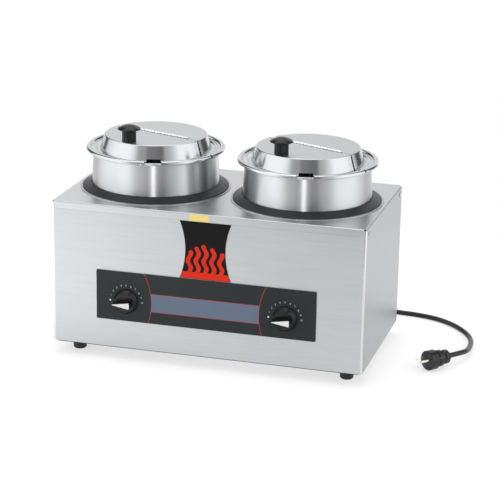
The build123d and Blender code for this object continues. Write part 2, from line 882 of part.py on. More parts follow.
# Strain relief: a grooved taper gripped in the rear panel
gland_place = Vector(gland_x, rear_y, gland_height)
relief_start = gland_flange_thickness
relief_tip = gland_flange_thickness + relief_length
groove_pitch = relief_length / (relief_groove_count + 1)
with BuildPart() as strain_relief:
    with BuildSketch(Plane(origin=gland_place)):
        with BuildLine():
            Polyline(
                (0, -sheet - gland_flange_thickness),
                (gland_flange, -sheet - gland_flange_thickness),
                (gland_flange, -sheet),
                (gland_neck, -sheet),
                (gland_neck, 0),
                (gland_flange, 0),
                (gland_flange, relief_start),
                (relief_root, relief_start),
                (relief_end, relief_tip),
                (0, relief_tip),
                close=True,
            )
        make_face()
        for i in range(1, relief_groove_count + 1):
            groove_y = relief_start + i * groove_pitch
            groove_radius = relief_root + (relief_end - relief_root) * i / (relief_groove_count + 1)
            with Locations((groove_radius, groove_y)):
                Rectangle(2 * relief_groove_depth, relief_groove, mode=Mode.SUBTRACT)
    revolve(axis=Axis(gland_place, (0, 1, 0)))
keep(strain_relief, "strain_relief")

# Terminal block on the base pan, inside the gland
with BuildPart() as terminal_block:
    block_place = Plane(origin=(gland_x, rear_y - block_setback, foot_height + sheet))
    with BuildSketch(block_place):
        Rectangle(block_width, block_depth)
    extrude(amount=block_height)
    with BuildSketch(block_place):
        with GridLocations((block_width - block_wall) / block_ways, 1, block_ways + 1, 1):
            Rectangle(block_wall, block_depth)
    extrude(amount=block_wall_height)
keep(terminal_block, "terminal_block")

# Coil: the spare lead wound in two layers. Each half turn has its own centre, one pitch step smaller
# than the last on the way in and larger on the way out, and the half turn between them climbs a layer.
cord_radius = cord_diameter / 2
coil_low = tie_sheet + tie_room + cord_radius
coil_high = coil_low + coil_pitch
step = coil_pitch / 2
spoke = Vector(cos(radians(coil_angle)), sin(radians(coil_angle)), 0)
heading = Vector(sin(radians(coil_angle)), -cos(radians(coil_angle)), 0)
coil_centre = Vector(coil_x, coil_y, 0)
half_radii = [coil_outer - step * i for i in range(coil_lower_halves)]
climb_radius = coil_outer - step * coil_lower_halves
half_radii.append(climb_radius)
half_radii += [climb_radius + step * (i + 1) for i in range(coil_upper_halves)]
coil_start = coil_centre + spoke * coil_outer + Vector(0, 0, coil_low)
coil_in = coil_start - heading * cord_diameter
with BuildLine() as coil_path:
    Line(coil_in, coil_start)
    here = coil_start
    direction = heading
    outward = spoke
    for i, radius in enumerate(half_radii):
        rise = coil_pitch if i == coil_lower_halves else 0
        there = here - outward * 2 * radius + Vector(0, 0, rise)
        reach = sqrt(radius**2 + rise**2 / 4)
        joint = (here + there) / 2 + direction * reach
        TangentArc(here, joint, tangent=direction)
        TangentArc(joint, there, tangent=there - here)
        here = there
        direction = -direction
        outward = -outward
    coil_out = here + direction * cord_diameter
    Line(here, coil_out)
coil_heading = direction


def tube_along(path):
    with BuildPart() as tube:
        with BuildSketch(Plane(origin=path @ 0, z_dir=path % 0)):
            Circle(cord_radius)
        sweep(path=path)
    full = pi * cord_radius**2 * path.length
    print(f"length {path.length:.1f}, volume over section times length {tube.part.volume / full:.5f}")
    return tube


cord_coil = tube_along(coil_path.wire())
keep(cord_coil, "cord_coil")

sample_step = cord_radius
sample_count = int(coil_path.wire().length / sample_step)
samples = [coil_path.wire() @ (i / sample_count) for i in range(sample_count + 1)]
apart = int(pi * cord_diameter / sample_step)
least = min((a - b).length for i, a in enumerate(samples) for b in samples[i + apart :])
print(f"coil's least gap to itself {least - cord_diameter:.2f}")

# Coil tie: a strap round the four strands on the coil's far side, wide enough for their curve
strand_inner = half_radii[coil_lower_halves - 1] - cord_radius
bundle_inner = sqrt(strand_inner**2 - (step + tie_width / 2) ** 2) - tie_room
bundle_outer = half_radii[1] + cord_radius + tie_room
bundle_high = coil_high + cord_radius + tie_room
strap_radial = Vector(-heading.X, -heading.Y, 0)
strap_centre = coil_centre + strap_radial * (bundle_inner + bundle_outer) / 2
strap_plane = Plane(
    origin=strap_centre + Vector(0, 0, (bundle_high + tie_sheet) / 2), x_dir=strap_radial, z_dir=-spoke
)
with BuildPart() as coil_tie:
    with BuildSketch(strap_plane):
        RectangleRounded(
            bundle_outer - bundle_inner + 2 * tie_sheet, bundle_high + tie_sheet, tie_corner + tie_sheet
        )
        RectangleRounded(
            bundle_outer - bundle_inner, bundle_high - tie_sheet, tie_corner, mode=Mode.SUBTRACT
        )
    extrude(amount=tie_width / 2, both=True)
keep(coil_tie, "coil_tie")

# Free lead: from the gland down to the coil, and from the coil round the cabinet to the plug
lead_points = [
    Vector(gland_x, rear_y + relief_tip, gland_height),
    Vector(-39.3, 214.6, 46.0),
    Vector(-29.6, 244.4, 38.3),
    Vector(-11.1, 268.1, 26.3),
    Vector(15.0, 283.1, 14.3),
    coil_in - heading * coil_entry_run,
    coil_in,
]
plug_points = [
    coil_out,
    coil_out + coil_heading * coil_exit_run,
    Vector(168.0, 261.0, 10.5),
    Vector(207.0, 254.5, 5.4),
    Vector(251.8, 250.1, 4.6),
    Vector(292.8, 247.2, 4.6),
    Vector(329.1, 237.3, 4.6),
    Vector(358.8, 218.6, 4.6),
    Vector(382.3, 194.2, 4.6),
    Vector(400.0, 167.6, 4.6),
    Vector(410.3, 139.1, 4.9),
    Vector(413.3, 107.9, 6.4),
    Vector(414.1, 75.6, 10.0),
    Vector(409.4, 45.5, 16.3),
    Vector(390.5, 22.2, 16.7),
]


def free_cord(points):
    """A tube on straight runs, with each bend as large as its two runs allow."""
    radii = []
    for before, point, after in zip(points, points[1:], points[2:]):
        run = min((point - before).length, (after - point).length)
        bend_angle = (point - before).get_angle(after - point)
        radii.append(bend_share * run / tan(radians(bend_angle / 2)))
    print("bend radii", [round(radius) for radius in radii])
    with BuildLine() as route:
        FilletPolyline(*points, radius=radii)
    return tube_along(route.wire())


cord_from_gland = free_cord(lead_points)
keep(cord_from_gland, "cord_from_gland")
cord_to_plug = free_cord(plug_points)
keep(cord_to_plug, "cord_to_plug")

# Plug: a moulded body with finger ribs, two blades and a longer ground pin
tail = plug_points[-1]
plug_axis = (plug_points[-1] - plug_points[-2]).normalized()
lateral = Vector(0, 0, 1).cross(plug_axis).normalized()
upward = plug_axis.cross(lateral)
body_points = [(0, 0), (plug_tail_radius, 0), (plug_tail_radius + plug_tail_flare, plug_tail_length)]
height = plug_tail_length
for rib, waist in finger_ribs:
    body_points.append((rib, height + finger_slope))
    body_points.append((rib, height + finger_slope + finger_flat))
    height += 2 * finger_slope + finger_flat
    body_points.append((waist, height))
    height += finger_gap
    body_points.append((waist, height))
drum_start = plug_length - drum_length
body_points += [
    (drum_radius - drum_chamfer, drum_start),
    (drum_radius, drum_start + drum_chamfer),
    (drum_radius, plug_length - drum_chamfer),
    (drum_radius - drum_chamfer, plug_length),
    (0, plug_length),
]
with BuildPart() as plug_body:
    with BuildSketch(Plane(origin=tail, x_dir=lateral, z_dir=lateral.cross(plug_axis))):
        with BuildLine():
            Polyline(*body_points, close=True)
        make_face()
    revolve(axis=Axis(tail, plug_axis))
keep(plug_body, "plug_body")

rolled = lateral * cos(radians(plug_roll)) + upward * sin(radians(plug_roll))
plug_face = Plane(origin=tail + plug_axis * plug_length, x_dir=rolled, z_dir=plug_axis)
with BuildPart() as plug_blades:
    with BuildSketch(plug_face):
        with Locations((blade_offset, 0)):
            with GridLocations(1, blade_pitch, 1, 2):
                Rectangle(blade_width, blade_sheet)
    extrude(amount=blade_length)
    hole_place = plug_face.offset(blade_length - blade_hole_inset)
    hole_plane = Plane(
        origin=hole_place.from_local_coords(Vector(blade_offset, -blade_pitch, 0)),
        x_dir=plug_axis,
        z_dir=plug_face.y_dir,
    )
    with BuildSketch(hole_plane):
        Circle(blade_hole)
    extrude(amount=2 * blade_pitch, mode=Mode.SUBTRACT)
keep(plug_blades, "plug_blades")

with BuildPart() as plug_ground_pin:
    with BuildSketch(plug_face):
        with Locations((ground_offset, 0)):
            Circle(ground_radius)
    extrude(amount=ground_length)
    tip = plug_face.offset(ground_length).from_local_coords(Vector(ground_offset, 0, 0))
    fillet(plug_ground_pin.edges().filter_by(GeomType.CIRCLE).sort_by_distance(tip)[0], ground_tip_fillet)
keep(plug_ground_pin, "plug_ground_pin")
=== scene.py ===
from math import atan2, cos, pi, radians, sin

import bmesh
import bpy
from mathutils import Matrix, Vector


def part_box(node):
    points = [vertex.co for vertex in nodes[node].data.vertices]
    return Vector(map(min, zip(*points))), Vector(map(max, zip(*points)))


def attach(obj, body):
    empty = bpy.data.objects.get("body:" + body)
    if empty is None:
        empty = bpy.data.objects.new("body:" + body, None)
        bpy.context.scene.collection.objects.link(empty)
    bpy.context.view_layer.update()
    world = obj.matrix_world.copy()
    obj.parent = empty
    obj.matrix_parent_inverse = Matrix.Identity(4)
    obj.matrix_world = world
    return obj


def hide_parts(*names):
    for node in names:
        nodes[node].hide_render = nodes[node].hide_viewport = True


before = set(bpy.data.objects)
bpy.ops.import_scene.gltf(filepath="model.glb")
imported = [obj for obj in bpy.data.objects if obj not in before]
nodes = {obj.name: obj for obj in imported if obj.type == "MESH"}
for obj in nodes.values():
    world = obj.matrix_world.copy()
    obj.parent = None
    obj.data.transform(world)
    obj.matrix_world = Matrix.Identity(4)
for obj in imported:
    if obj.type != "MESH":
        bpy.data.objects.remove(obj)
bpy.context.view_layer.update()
scene = bpy.context.scene
sides = {"left": -1, "right": 1}


# The camera: a long lens in front of the cabinet, a little to its right and above it, as the
# photograph was taken, with the slight roll of the original frame.
camera_place = Vector((0.87514, -2.99726, 1.15623))
camera_right = Vector((0.96186828, 0.27305036, 0.01590342))
camera_up = Vector((-0.09656061, 0.28460091, 0.95377061))
lens = bpy.data.cameras.new("camera")
lens.sensor_width = 36.0
lens.lens = 136.413
lens.clip_end = 60.0
camera = bpy.data.objects.new("camera", lens)
scene.collection.objects.link(camera)
turn = Matrix((camera_right, camera_up, camera_right.cross(camera_up))).transposed()
camera.matrix_world = Matrix.Translation(camera_place) @ turn.to_4x4()
scene.camera = camera
scene.view_settings.view_transform = "Standard"


# The studio: a white floor inside a white light tent with gaps where the camera looks in and in its two
# back corners, so bright metal shows pale walls, dark gaps and a dimmer roof. In metal, the floor further
# out takes up the tent's walls, and a brighter patch of it at the left front is a painted pool of light.
# Near the cabinet, cord and plug, ambient occlusion darkens the floor's glow: a painted contact shadow.
# A lamp above makes the soft shadow, and a narrow one a streak on the pots.
class Shade:
    """A socket in a node tree. Sums, products and powers of sockets add Math nodes."""

    def __init__(self, tree, socket=None):
        self.tree = tree
        self.socket = socket

    def node(self, kind, settings, inputs, output=0):
        """Add a node: its settings first, then the values or links of its sockets."""
        made = self.tree.nodes.new(kind)
        for name, value in settings.items():
            if name == "stops":
                while len(made.color_ramp.elements) < len(value):
                    made.color_ramp.elements.new(1.0)
                for element, (position, level) in zip(made.color_ramp.elements, value):
                    element.position = position
                    element.color = (level, level, level, 1.0)
            else:
                setattr(made, name, value)
        for name, value in inputs.items():
            if isinstance(value, Shade):
                self.tree.links.new(value.socket, made.inputs[name])
            else:
                made.inputs[name].default_value = value
        return None if output is None else Shade(self.tree, made.outputs[output])

    def math(self, operation, *values):
        return self.node("ShaderNodeMath", {"operation": operation}, dict(enumerate(values)))

    def __add__(self, other):
        return self.math("ADD", self, other)

    def __radd__(self, other):
        return self.math("ADD", other, self)

    def __sub__(self, other):
        return self.math("SUBTRACT", self, other)

    def __rsub__(self, other):
        return self.math("SUBTRACT", other, self)

    def __mul__(self, other):
        return self.math("MULTIPLY", self, other)

    def __pow__(self, other):
        return self.math("POWER", self, other)

    def ramp(self, low, high):
        """0 below low, 1 above high and a smooth step between them."""
        return self.node(
            "ShaderNodeMapRange",
            {"interpolation_type": "SMOOTHSTEP"},
            {"Value": self, "From Min": low, "From Max": high},
        )

    def blend(self, first, second):
        """The first colour where this is 0 and the second where it is 1."""
        return self.node("ShaderNodeMix", {"data_type": "RGBA"}, {0: self, 6: first, 7: second}, 2)

    def parts(self):
        """The three numbers of a vector."""
        return [self.node("ShaderNodeSeparateXYZ", {}, {0: self}, axis) for axis in "XYZ"]


floor_white = (0.95, 0.95, 0.95, 1.0)
floor_half = 7.0
near_glow = 0.62
near_fill = 1.22
shadow_reach = (0.50, 0.95)
# Painted contact shadow: ambient occlusion within this reach darkens the floor's glow by up to this depth.
painted_contact_shadow_reach = 0.045
painted_contact_shadow_depth = 0.22
painted_contact_shadow_samples = 16
sweep_reach = (0.80, 1.05)
sweep_front = (-0.95, -0.45)
sweep_side = 0.9
# A brighter patch of floor at the left front, seen only in metal: a painted pool of light.
painted_light_pool_level = 1.25
painted_light_pool_reach = (-0.15, 0.55)
painted_light_pool_depth = (-0.32, -0.10)
camera_heading = atan2(camera_place.x, -camera_place.y)
wall_levels = (
    (-180, 0.62),
    (-168, 0.74),
    (-158, 0.50),
    (-149, 0.06),
    (-129, 0.06),
    (-121, 0.72),
    (-108, 0.85),
    (-95, 1.00),
    (-56, 1.00),
    (-46, 0.80),
    (-39, 0.48),
    (-34, 0.34),
    (-20, 0.33),
    (-17, 0.18),
    (18, 0.14),
    (21, 0.40),
    (31, 0.46),
    (44, 0.72),
    (53, 1.00),
    (86, 1.00),
    (98, 0.78),
    (110, 0.66),
    (115, 0.30),
    (120, 0.06),
    (141, 0.06),
    (149, 0.80),
    (156, 0.80),
    (168, 0.56),
    (180, 0.62),
)
wall_strength = 1.45
roof_light = 0.55
roof_edge = (0.72, 0.94)
lamp_aim = Vector((0.0, 0.0, 0.2))


def tent_walls(x, y):
    """How bright the tent is in a direction, by its heading to the right of the camera."""
    rightward = x * cos(camera_heading) + y * sin(camera_heading)
    nearward = x * sin(camera_heading) - y * cos(camera_heading)
    share = x.math("ARCTAN2", rightward, nearward) * (0.5 / pi) + 0.5
    stops = [((degrees + 180) / 360, level) for degrees, level in wall_levels]
    return x.node("ShaderNodeValToRGB", {"stops": stops}, {"Fac": share}) * wall_strength


floor_mesh = bpy.data.meshes.new("floor")
floor_corners = [(x * floor_half, y * floor_half, 0.0) for x, y in ((-1, -1), (1, -1), (1, 1), (-1, 1))]
floor_mesh.from_pydata(floor_corners, [], [(0, 1, 2, 3)])
floor = bpy.data.objects.new("floor", floor_mesh)
scene.collection.objects.link(floor)
floor_paint = bpy.data.materials.new("floor")
floor_paint.use_nodes = True
floor_paint.node_tree.nodes.clear()
at = Shade(floor_paint.node_tree)
seen, glossy, through = [
    at.node("ShaderNodeLightPath", {}, {}, f"Is {kind} Ray") for kind in ("Camera", "Glossy", "Transmission")
]
shown = at.math("MAXIMUM", seen, at.math("MAXIMUM", glossy, through))
place = at.node("ShaderNodeTexCoord", {}, {}, "Object")
distance = at.node("ShaderNodeVectorMath", {"operation": "LENGTH"}, {0: place}, "Value")
glow_share = near_glow + distance.ramp(*shadow_reach) * (1.0 - near_glow)
x, y = place.parts()[:2]
sweep = at.math("MAXIMUM", tent_walls(x, y), y.ramp(*sweep_front) * sweep_side)
# In metal the floor at the left front glows brighter: a painted pool of light.
floor_with_painted_light_pool = 1.0 + (0.0 - x).ramp(*painted_light_pool_reach) * (1.0 - y.ramp(*painted_light_pool_depth)) * painted_light_pool_level
mirrored = floor_with_painted_light_pool + distance.ramp(*sweep_reach) * (sweep - floor_with_painted_light_pool)
fill = near_fill + distance.ramp(*shadow_reach) * (1.0 - near_fill)
# Ambient occlusion darkens the floor's glow near the cabinet, cord and plug: a painted contact shadow.
clear = at.node("ShaderNodeAmbientOcclusion", {"samples": painted_contact_shadow_samples}, {"Distance": painted_contact_shadow_reach}, "AO")
painted_contact_shadow = 1.0 - (1.0 - clear) * painted_contact_shadow_depth
plain = at.node("ShaderNodeBsdfDiffuse", {}, {"Color": floor_white})
glow = at.node("ShaderNodeEmission", {}, {"Color": (mirrored + seen * (fill - mirrored)) * painted_contact_shadow})
mixed = at.node("ShaderNodeMixShader", {}, {0: shown * glow_share, 1: plain, 2: glow})
at.node("ShaderNodeOutputMaterial", {}, {"Surface": mixed}, None)
floor.data.materials.append(floor_paint)

world = bpy.data.worlds.new("tent")
world.use_nodes = True
world.node_tree.nodes.clear()
at = Shade(world.node_tree)
x, y, z = at.node("ShaderNodeTexCoord", {}, {}, "Generated").parts()
walls = tent_walls(x, y)
strength = walls + z.ramp(*roof_edge) * (roof_light - walls)
seen = at.node("ShaderNodeLightPath", {}, {}, "Is Camera Ray")
tent = at.node("ShaderNodeBackground", {}, {"Color": strength + seen * (1.0 - strength)})
at.node("ShaderNodeOutputWorld", {}, {"Surface": tent}, None)
scene.world = world


def lamp(name, place, width, height, watts):
    """A soft box aimed at the middle of the cabinet."""
    light = bpy.data.lights.new(name, "AREA")
    light.shape = "RECTANGLE"
    light.size = width
    light.size_y = height
    light.energy = watts
    box = bpy.data.objects.new(name, light)
    box.location = place
    box.rotation_euler = (lamp_aim - Vector(place)).to_track_quat("-Z", "Y").to_euler()
    scene.collection.objects.link(box)


lamp("overhead_lamp", place=(-0.3, 0.2, 2.6), width=2.4, height=2.0, watts=18.0)
lamp("camera_lamp", place=(0.50, -2.58, 0.60), width=0.16, height=0.5, watts=6.0)


# Feet and base pan: black rubber feet, each on a screw, under a pan folded from steel sheet with
# the faint mottle of the rolling mill. A black strip runs round under the pan's edge: painted shade where
# the lip lies in shadow.
def finish(name, constants, varying):
    """A material: constants on the shader's own sockets, then whatever varies over the surface."""
    material = bpy.data.materials.new(name)
    material.use_nodes = True
    tree = material.node_tree
    shader = tree.nodes["Principled BSDF"]
    for socket, value in constants.items():
        shader.inputs[socket].default_value = value
    place = Shade(tree).node("ShaderNodeTexCoord", {}, {}, "Object")
    for socket, value in varying(place).items():
        tree.links.new(value.socket, shader.inputs[socket])
    return material


def wear(material, *names):
    """Give solids of the part a material."""
    for name in names:
        nodes[name].data.materials.clear()
        nodes[name].data.materials.append(material)


def noise(place, cells, detail=2.0, roughness=0.5):
    """Noise with its own number of cells per metre along each axis."""
    stretched = place.node("ShaderNodeVectorMath", {"operation": "MULTIPLY"}, {0: place, 1: cells})
    inputs = {"Vector": stretched, "Scale": 1.0, "Detail": detail, "Roughness": roughness}
    return place.node("ShaderNodeTexNoise", {}, inputs)


def relief(height, strength, distance):
    return height.node("ShaderNodeBump", {}, {"Height": height, "Strength": strength, "Distance": distance})


def moulded(name, pale, dark, roughness, texture, depth, gloss=0.5):
    """A moulding or print with the fine pebble of its surface and a faint cloudiness."""
    cloud_cells = 40.0
    pebble_rough, cloud_rough = 0.2, 0.1
    pebble_relief = 0.25

    def vary(place):
        pebble = noise(place, (texture, texture, texture), detail=3.0, roughness=0.6)
        cloud = noise(place, (cloud_cells, cloud_cells, cloud_cells))
        return {
            "Base Color": (pebble * 0.5 + cloud * 0.5).blend(dark, pale),
            "Roughness": roughness + (pebble - 0.5) * pebble_rough + (cloud - 0.5) * cloud_rough,
            "Normal": relief(pebble, pebble_relief, depth),
        }

    return finish(name, {"Specular IOR Level": gloss}, vary)


def rolled(name, pale, dark, roughness, grain, streaked=0.0, bend_gloss_and_painted_highlight=None):
    """Steel sheet or bar with a grain, and perhaps a glossier bend at its front, painted paler as a painted
    highlight.

    Streaked steel was brushed level, so it smears light upright.
    """
    cloud_cells = 5.0
    streak_share, cloud_share = 0.7, 0.3
    streak_rough, cloud_rough = 0.14, 0.06
    streak_relief, streak_depth = 0.05, 0.0004

    def vary(place):
        streak = noise(place, grain, detail=3.0, roughness=0.6)
        cloud = noise(place, (cloud_cells, cloud_cells, cloud_cells))
        rough = roughness + (streak - 0.5) * streak_rough + (cloud - 0.5) * cloud_rough
        colour = (streak * streak_share + cloud * cloud_share).blend(dark, pale)
        # At the bend the colour turns paler: a painted highlight; the lower roughness is real.
        if bend_gloss_and_painted_highlight:
            flat = place.parts()[1].ramp(*bend_gloss_and_painted_highlight["depths"])
            rough = bend_gloss_and_painted_highlight["roughness"] + flat * (rough - bend_gloss_and_painted_highlight["roughness"])
            colour = flat.blend(bend_gloss_and_painted_highlight["colour"], colour)
        return {
            "Base Color": colour,
            "Roughness": rough,
            "Normal": relief(streak, streak_relief, streak_depth),
        }

    return finish(name, {"Metallic": 1.0, "Anisotropic": streaked, "Anisotropic Rotation": 0.25}, vary)


def add_piece(name, work, material, body="cabinet"):
    """Make a worked mesh into a visible piece that rides on a body."""
    bmesh.ops.recalc_face_normals(work, faces=work.faces)
    mesh = bpy.data.meshes.new(name)
    work.to_mesh(mesh)
    work.free()
    mesh.materials.append(material)
    piece = bpy.data.objects.new(name, mesh)
    scene.collection.objects.link(piece)
    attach(piece, body)


def spaced(low, high, count):
    """Evenly spaced values from low to high, with both ends."""
    return [low + (high - low) * i / count for i in range(count + 1)]


def rounded(left, right, low, high, radius, steps):
    """Points round a rectangle with rounded corners, from its upper right corner on."""
    across = (right - radius, left + radius)
    up = (high - radius, low + radius)
    return [
        (across[i] + radius * cos(angle), up[k] + radius * sin(angle))
        for quarter, (i, k) in enumerate(((0, 0), (1, 0), (1, 1), (0, 1)))
        for angle in spaced(quarter * pi / 2, (quarter + 1) * pi / 2, steps)
    ]


foot_rubber = moulded(
    "foot_rubber",
    pale=(0.018, 0.019, 0.020, 1),
    dark=(0.010, 0.011, 0.012, 1),
    roughness=0.45,
    texture=900.0,
    depth=0.0001,
)
pan_steel = rolled(
    "pan_steel",
    pale=(0.60, 0.605, 0.61, 1),
    dark=(0.50, 0.505, 0.51, 1),
    roughness=0.42,
    grain=(60.0, 60.0, 60.0),
)
screw_steel = rolled(
    "screw_steel",
    pale=(0.62, 0.62, 0.62, 1),
    dark=(0.50, 0.50, 0.51, 1),
    roughness=0.28,
    grain=(900.0, 900.0, 40.0),
)
wear(foot_rubber, *[f"foot_{end}_{side}" for end in ("front", "rear") for side in sides])
wear(pan_steel, "base_pan")
wear(screw_steel, "foot_screws")
# A dark strip round under the pan's edge, in the feet's rubber: painted shade.
shade_strip_corner = 0.011
shade_strip_inset = 0.0002
shade_strip_width = 0.0020
shade_strip_height = 0.0016
shade_strip_steps = 6
pan_low, pan_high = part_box("base_pan")
work = bmesh.new()
rings = []
for inset, z in (
    (shade_strip_inset, pan_low.z),
    (shade_strip_inset, pan_low.z - shade_strip_height),
    (shade_strip_inset + shade_strip_width, pan_low.z - shade_strip_height),
    (shade_strip_inset + shade_strip_width, pan_low.z),
):
    ends = (pan_low.x + inset, pan_high.x - inset, pan_low.y + inset, pan_high.y - inset)
    ring = rounded(*ends, shade_strip_corner - inset, shade_strip_steps)
    rings.append([work.verts.new((x, y, z)) for x, y in ring])
for inner, outer in zip(rings, rings[1:] + rings[:1]):
    for i in range(len(inner)):
        work.faces.new((inner[i - 1], inner[i], outer[i], outer[i - 1]))
add_piece("pan_shade_strip", work, foot_rubber)


# Cabinet: front, rear and side panels of stainless sheet, brushed along their length. The side panels'
# steel is painted darker than the front's as painted shade. They are bent round the corners, where a paler
# colour at the bend paints the highlight they catch, and domed screws pin them under the deck.
panel_steel = rolled(
    "panel_steel",
    pale=(0.715, 0.733, 0.747, 1),
    dark=(0.540, 0.556, 0.569, 1),
    roughness=0.48,
    grain=(10.0, 10.0, 170.0),
    streaked=0.5,
)
# Darker than the front panels' steel: painted shade on the sides.
side_steel_painted_shade_and_highlight = rolled(
    "side_steel_painted_shade_and_highlight",
    pale=(0.585, 0.608, 0.625, 1),
    dark=(0.525, 0.548, 0.565, 1),
    roughness=0.38,
    grain=(4.0, 4.0, 1400.0),
    streaked=0.6,
    # The bend's paler colour is a painted highlight.
    bend_gloss_and_painted_highlight={"depths": (-0.1285, -0.1270), "roughness": 0.14, "colour": (0.74, 0.75, 0.755, 1)},
)
wear(panel_steel, "front_panel", "rear_panel")
wear(side_steel_painted_shade_and_highlight, "left_side_panel", "right_side_panel")
wear(screw_steel, "side_screws")


# Wells and heaters: two deep-drawn wells, each with a sheathed element clamped under its floor, a
# thermostat behind its dial and a terminal block for the lead.
sheath = moulded(
    "element_sheath",
    pale=(0.22, 0.21, 0.20, 1),
    dark=(0.12, 0.12, 0.12, 1),
    roughness=0.6,
    texture=500.0,
    depth=0.0002,
)
phenolic = moulded(
    "phenolic",
    pale=(0.12, 0.12, 0.12, 1),
    dark=(0.08, 0.08, 0.08, 1),
    roughness=0.5,
    texture=900.0,
    depth=0.0001,
)
wear(phenolic, "terminal_block")
wear(screw_steel, "thermostat_nuts")
for side in sides:
    wear(pan_steel, f"{side}_well", f"{side}_heater_clamp")
    wear(sheath, f"{side}_heating_element")
    wear(phenolic, f"{side}_thermostat")
    wear(screw_steel, f"{side}_thermostat_shaft")


# Top deck and rings: one brushed sheet folded down all round, with a black moulded ring in each of
# its two holes to carry a pot. A plain yellow sticker sits on its front skirt, and a thin dark line under
# the skirt's edge is painted shadow.
ink = 0.00012


def outline_prism(name, outline, material, body="cabinet"):
    """A printed or stuck-on area: a closed outline that faces forward, a hair thick."""
    work = bmesh.new()
    corners = [work.verts.new(point) for point in outline]
    raised = bmesh.ops.extrude_face_region(work, geom=[work.faces.new(corners)])
    top = [part for part in raised["geom"] if isinstance(part, bmesh.types.BMVert)]
    bmesh.ops.translate(work, verts=top, vec=(0.0, -ink, 0.0))
    add_piece(name, work, material, body)


deck_steel = rolled(
    "deck_steel",
    pale=(0.655, 0.673, 0.687, 1),
    dark=(0.600, 0.617, 0.631, 1),
    roughness=0.34,
    grain=(4.0, 1400.0, 1400.0),
)
ring_polymer = moulded(
    "ring_polymer",
    pale=(0.024, 0.028, 0.030, 1),
    dark=(0.015, 0.018, 0.020, 1),
    roughness=0.42,
    texture=1100.0,
    depth=0.0001,
    gloss=0.4,
)
yellow_film = moulded(
    "yellow_film",
    pale=(0.96, 0.78, 0.26, 1),
    dark=(0.91, 0.73, 0.23, 1),
    roughness=0.40,
    texture=900.0,
    depth=0.00005,
)
# A dark line under the skirt's edge: painted shadow.
painted_shadow_line = moulded(
    "painted_shadow_line",
    pale=(0.10, 0.105, 0.11, 1),
    dark=(0.07, 0.075, 0.08, 1),
    roughness=0.5,
    texture=700.0,
    depth=0.0001,
)
wear(deck_steel, "top_deck")
wear(ring_polymer, *[f"{side}_well_ring" for side in sides])
skirt_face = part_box("top_deck")[0].y
skirt_edge = 0.2604
sticker_left, sticker_right = -0.0276, 0.0060
sticker_top = 0.2720
sticker_corner = 0.0012
sticker_steps = 5
sticker = rounded(sticker_left, sticker_right, skirt_edge, sticker_top, sticker_corner, sticker_steps)
outline_prism("skirt_sticker", [(x, skirt_face, z) for x, z in sticker], yellow_film)
front_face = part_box("front_panel")[0].y
# The painted shadow line lies on the front panel just under the skirt.
shadow_line_half = 0.2600
shadow_line_width = 0.0005
shadow_line_low = skirt_edge - shadow_line_width
shadow_line_outline = [(-shadow_line_half, shadow_line_low), (shadow_line_half, shadow_line_low), (shadow_line_half, skirt_edge), (-shadow_line_half, skirt_edge)]
outline_prism("skirt_painted_shadow", [(x, front_face, z) for x, z in shadow_line_outline], painted_shadow_line)


# Control panel: an aluminium plate with a charcoal printed overlay, held by the thermostats' nuts. The
# print is a bare slate-blue band between two red arcs, each arc round one of the dials.
panel_ink = moulded(
    "panel_ink",
    pale=(0.023, 0.028, 0.029, 1),
    dark=(0.018, 0.022, 0.023, 1),
    roughness=0.42,
    texture=1200.0,
    depth=0.00005,
    gloss=0.25,
)
slate_ink = moulded(
    "slate_ink",
    pale=(0.125, 0.172, 0.245, 1),
    dark=(0.110, 0.152, 0.220, 1),
    roughness=0.40,
    texture=1200.0,
    depth=0.00005,
)
red_ink = moulded(
    "red_ink",
    pale=(0.50, 0.024, 0.045, 1),
    dark=(0.42, 0.018, 0.035, 1),
    roughness=0.40,
    texture=1200.0,
    depth=0.00005,
)
wear(panel_ink, "control_panel")
panel_low, panel_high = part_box("control_panel")
panel_face = panel_low.y
dial_height = 0.1074
arc_centre = 0.206
arc_radius = 0.1125
arc_width = 0.0009
arc_steps = 24
band_low, band_high = 0.0929, 0.1254
rule_height = 0.0009


def arc_point(hand, radius, z):
    """Where an arc of that radius, about a point beyond the dial, lies at height z."""
    reach = arc_centre - (radius**2 - (z - dial_height) ** 2) ** 0.5
    return hand * reach, panel_face, z


for side, hand in sides.items():
    heights = spaced(panel_low.z, panel_high.z, arc_steps)
    rising = [arc_point(hand, arc_radius, z) for z in heights]
    falling = [arc_point(hand, arc_radius - arc_width, z) for z in reversed(heights)]
    outline_prism(f"{side}_panel_arc", rising + falling, red_ink)
for name, low, high, material in (
    ("panel_band", band_low + rule_height, band_high - rule_height, slate_ink),
    ("panel_rule_low", band_low, band_low + rule_height, red_ink),
    ("panel_rule_high", band_high - rule_height, band_high, red_ink),
):
    heights = spaced(low, high, arc_steps)
    falling = [arc_point(-1, arc_radius, z) for z in reversed(heights)]
    rising = [arc_point(1, arc_radius, z) for z in heights]
    outline_prism(name, falling + rising, material)


# Dials: a black knob on each thermostat's shaft, with a white face on its pointed grip, and round it a
# printed scale from an off dot to ten.
knob_polymer = moulded(
    "knob_polymer",
    pale=(0.010, 0.011, 0.012, 1),
    dark=(0.005, 0.005, 0.006, 1),
    roughness=0.22,
    texture=1400.0,
    depth=0.00003,
    gloss=0.35,
)
inlay_polymer = moulded(
    "inlay_polymer",
    pale=(0.86, 0.86, 0.85, 1),
    dark=(0.80, 0.80, 0.79, 1),
    roughness=0.4,
    texture=900.0,
    depth=0.00004,
)
white_ink = moulded(
    "white_ink",
    pale=(0.62, 0.63, 0.63, 1),
    dark=(0.54, 0.55, 0.55, 1),
    roughness=0.45,
    texture=1200.0,
    depth=0.00005,
)
dial_offset = 0.139
scale_radius = 0.0283
scale_steps = 10
digit_size = 0.0046
dot_radius = 0.0016
dot_steps = 20
grip_tip = 0.0166
grip_tail = 0.0134
tip_half = 0.0006
tail_half = 0.0054
tail_bulge = 0.0010
tail_steps = 12
